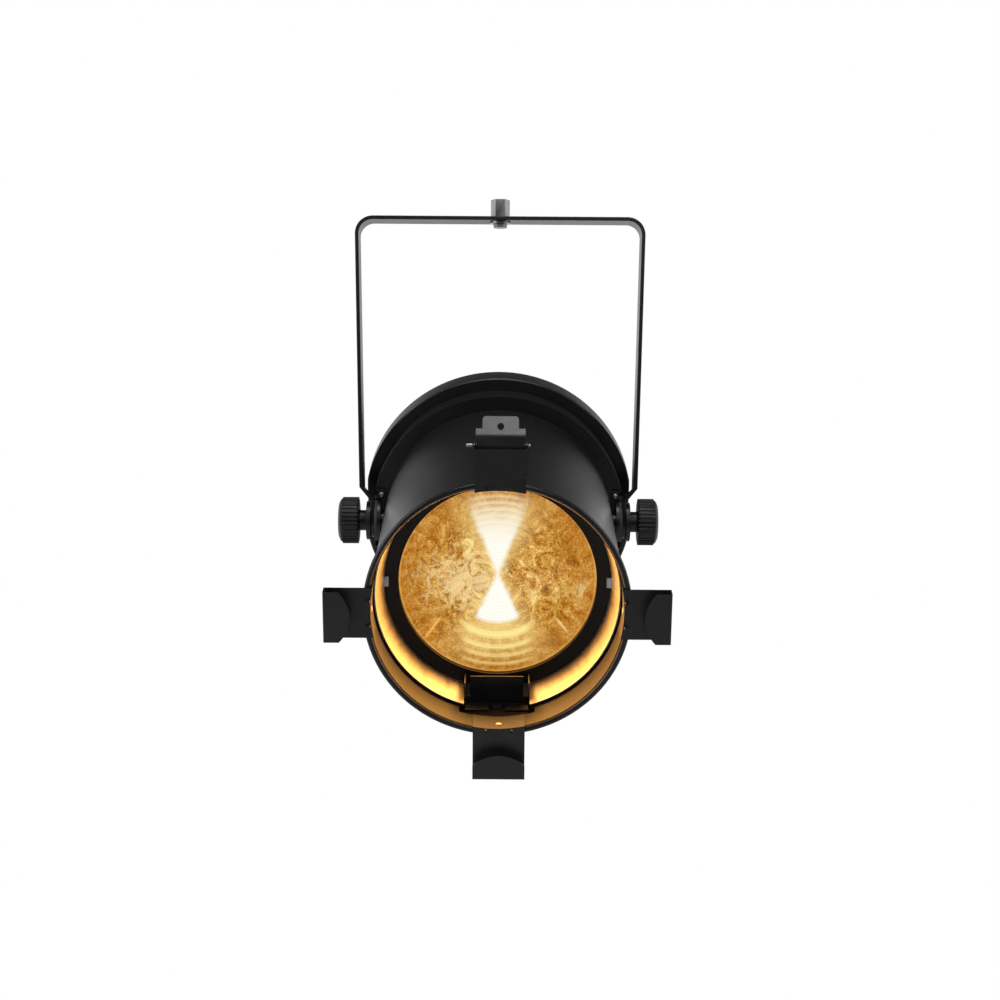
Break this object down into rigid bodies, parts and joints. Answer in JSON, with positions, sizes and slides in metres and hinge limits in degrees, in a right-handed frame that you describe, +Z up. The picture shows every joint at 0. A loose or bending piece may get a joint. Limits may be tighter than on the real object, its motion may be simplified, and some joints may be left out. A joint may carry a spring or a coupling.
{
  "type": "theatre lamp",
  "caption": "Stage lamp in a flat-bar yoke: a can with a sliding Fresnel lens, gel-frame clips, tilt knobs and a finned rear housing.",
  "frame": {"origin": "centre of the mouth of the threaded hole in the top of the hanging stud", "axes": "+Z up along the stud, +X to the side of the left clip and left knob, -Y towards the light's mouth"},
  "size_m": [0.2698, 0.4369, 0.466],
  "materials": {
    "black_coat": "satin black powder coat",
    "black_cast": "die cast, satin black powder coat",
    "grey_steel": "zinc plated",
    "black_plastic": "moulded, satin",
    "fibre": "pressed fibre",
    "glass": "moulded rings",
    "bare_aluminium": "as extruded",
    "reflector": "bright",
    "board": "lacquered",
    "emitter": "clear dome over phosphor",
    "copper_coil": "enamelled",
    "display": "clear window, dark",
    "button": "matt",
    "inlet_blue": "moulded",
    "outlet_grey": "moulded"
  },
  "bodies": {
    "hanger": {"hanging_stud": "grey_steel", "hanging_bolt": "grey_steel", "hanging_washer": "grey_steel"},
    "yoke": {"yoke_bar": "black_coat", "friction_discs": "fibre", "tilt_washers": "black_plastic"},
    "left_knob": {"tilt_knob_left": "black_plastic", "tilt_stud_left": "grey_steel"},
    "right_knob": {"tilt_knob_right": "black_plastic", "tilt_stud_right": "grey_steel"},
    "carriage": {"fresnel_lens": "glass", "lens_ring": "black_coat", "lens_retainer": "black_coat", "carriage_sleeve": "bare_aluminium", "zoom_bracket": "black_coat", "zoom_nut": "grey_steel"},
    "zoom_lock": {"zoom_knob": "black_plastic", "zoom_screw": "grey_steel"},
    "catch": {"catch_lever": "black_coat"},
    "rotor": {"fan_rotor": "black_plastic"},
    "menu_key": {"button_menu": "button"},
    "down_key": {"button_down": "button"},
    "up_key": {"button_up": "button"},
    "enter_key": {"button_enter": "button"},
    "fuse": {"fuse_cap": "black_plastic"},
    "lamp": {"nose_tube": "black_coat", "front_ring": "black_cast", "rear_housing": "black_cast", "pivot_bracket_left": "black_coat", "pivot_bracket_right": "black_coat", "bracket_screws": "grey_steel", "clip_left": "black_coat", "clip_right": "black_coat", "clip_bottom": "black_coat", "catch_bracket": "black_coat", "clip_rivets": "black_coat", "catch_pin": "grey_steel", "catch_spring": "grey_steel", "zoom_channel": "black_coat", "led_board": "board", "led_emitter": "emitter", "led_holder": "black_plastic", "reflector": "reflector", "light_baffle": "black_coat", "heat_sink": "bare_aluminium", "fan_frame": "black_plastic", "supply_board": "board", "supply_coil": "copper_coil", "supply_capacitors": "black_plastic", "control_board": "board", "display_window": "display", "rear_panel": "black_coat", "power_inlet": "inlet_blue", "power_outlet": "outlet_grey", "data_input": "grey_steel", "data_output": "grey_steel", "fuse_holder": "black_plastic", "safety_eye": "grey_steel", "panel_screws": "grey_steel"}
  },
  "joints": [
    {"name": "pan", "type": "hinge", "parent": "hanger", "child": "yoke", "pos_m": [0, 0, 0], "axis": [0, 0, 1], "continuous": true},
    {"name": "tilt", "type": "hinge", "parent": "yoke", "child": "lamp", "pos_m": [0, 0, -0.2725], "axis": [1, 0, 0], "range_deg": [-65, 72.5]},
    {"name": "left_knob_turn", "type": "hinge", "parent": "lamp", "child": "left_knob", "pos_m": [0.12, 0, -0.2725], "axis": [1, 0, 0], "continuous": true},
    {"name": "right_knob_turn", "type": "hinge", "parent": "lamp", "child": "right_knob", "pos_m": [-0.12, 0, -0.2725], "axis": [-1, 0, 0], "continuous": true},
    {"name": "lens_slide", "type": "slide", "parent": "lamp", "child": "carriage", "axis": [0, 0.9537, 0.3007], "range_m": [-0.01, 0.07]},
    {"name": "zoom_knob_turn", "type": "hinge", "parent": "carriage", "child": "zoom_lock", "pos_m": [0, -0.11816, -0.41985], "axis": [0, -0.3007, 0.9537], "continuous": true},
    {"name": "catch_turn", "type": "hinge", "parent": "lamp", "child": "catch", "pos_m": [0.0016, -0.24996, -0.21532], "axis": [-1, 0, 0], "range_deg": [0, 70], "stiffness_Nm_per_rad": 0.01, "springref_deg": -34.38},
    {"name": "fan_spin", "type": "hinge", "parent": "lamp", "child": "rotor", "pos_m": [0, 0.08726, -0.24499], "axis": [0, 0.9537, 0.3007], "continuous": true},
    {"name": "fuse_cap_turn", "type": "hinge", "parent": "lamp", "child": "fuse", "pos_m": [0, 0.14662, -0.23204], "axis": [0, 0.9537, 0.3007], "range_deg": [0, 90]},
    {"name": "menu_press", "type": "slide", "parent": "lamp", "child": "menu_key", "axis": [0, -0.9537, -0.3007], "range_m": [0, 0.0015], "stiffness_N_per_m": 400},
    {"name": "down_press", "type": "slide", "parent": "lamp", "child": "down_key", "axis": [0, -0.9537, -0.3007], "range_m": [0, 0.0015], "stiffness_N_per_m": 400},
    {"name": "up_press", "type": "slide", "parent": "lamp", "child": "up_key", "axis": [0, -0.9537, -0.3007], "range_m": [0, 0.0015], "stiffness_N_per_m": 400},
    {"name": "enter_press", "type": "slide", "parent": "lamp", "child": "enter_key", "axis": [0, -0.9537, -0.3007], "range_m": [0, 0.0015], "stiffness_N_per_m": 400}
  ]
}
